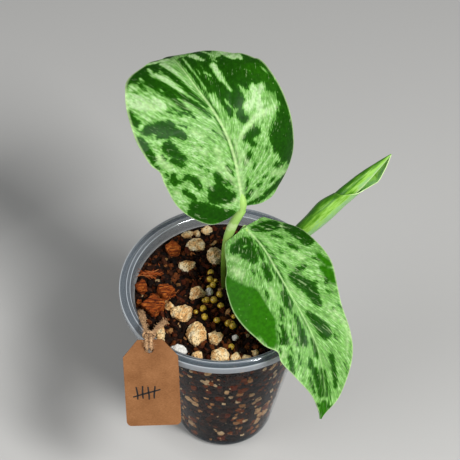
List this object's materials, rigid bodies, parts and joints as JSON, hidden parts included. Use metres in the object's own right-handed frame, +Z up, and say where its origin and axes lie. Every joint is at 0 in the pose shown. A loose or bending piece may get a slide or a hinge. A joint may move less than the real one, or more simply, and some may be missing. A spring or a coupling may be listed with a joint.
{
  "type": "potted house plant",
  "caption": "Young variegated monstera in a clear nursery cup: open leaves, a new leaf still rolled up, chunky aroid mix and a kraft paper tag on jute twine.",
  "frame": {"origin": "middle of the cup's base, on the surface that it stands on", "axes": "+Z up along the cup's axis; -Y is the front, where the lower leaf and the tag hang; +X is to the right as seen from the front"},
  "size_m": [0.1329, 0.1407, 0.2127],
  "materials": {
    "clear_plastic": "clear thin-walled plastic, glossy with fine scratches",
    "potting_mix": "damp bark, husk fibre and peat, matt",
    "pumice": "porous, dry, dusted with peat",
    "perlite": "white, foamed, matt",
    "husk": "fibrous coconut husk, matt",
    "stem": "green skin, slightly waxy",
    "petiole": "smooth, waxy",
    "new_leaf": "smooth, waxy",
    "leaf": "leathery, satin, dark green, mint and cream marbling",
    "kraft_paper": "uncoated kraft card",
    "jute": "twisted jute, hairy"
  },
  "bodies": {
    "root": {"pot": "clear_plastic", "potting_mix": "potting_mix", "pumice_back_a": "pumice", "pumice_back_b": "pumice", "pumice_back_c": "pumice", "pumice_back_large": "pumice", "pumice_middle_long": "pumice", "pumice_middle_round": "pumice", "pumice_left_large": "pumice", "pumice_left_behind": "pumice", "pumice_front_large": "pumice", "pumice_front_side": "pumice", "pumice_rim_large": "pumice", "pumice_rim_left": "pumice", "pumice_rim_amber": "pumice", "pumice_rim_small_a": "pumice", "pumice_rim_small_b": "pumice", "pumice_under_twine": "pumice", "pumice_behind_stem": "pumice", "perlite_middle": "perlite", "perlite_front": "perlite", "perlite_rim": "perlite", "husk_rim": "husk", "husk_large": "husk", "husk_inner": "husk", "husk_rim_small": "husk", "husk_back": "husk", "stem_and_roots": "stem", "petiole_upper": "petiole", "petiole_lower": "petiole", "leaf_new_rolled": "new_leaf", "leaf_upper": "leaf", "leaf_lower": "leaf", "label_tag": "kraft_paper", "tag_twine": "jute", "twine_wrap": "jute"}
  },
  "joints": []
}
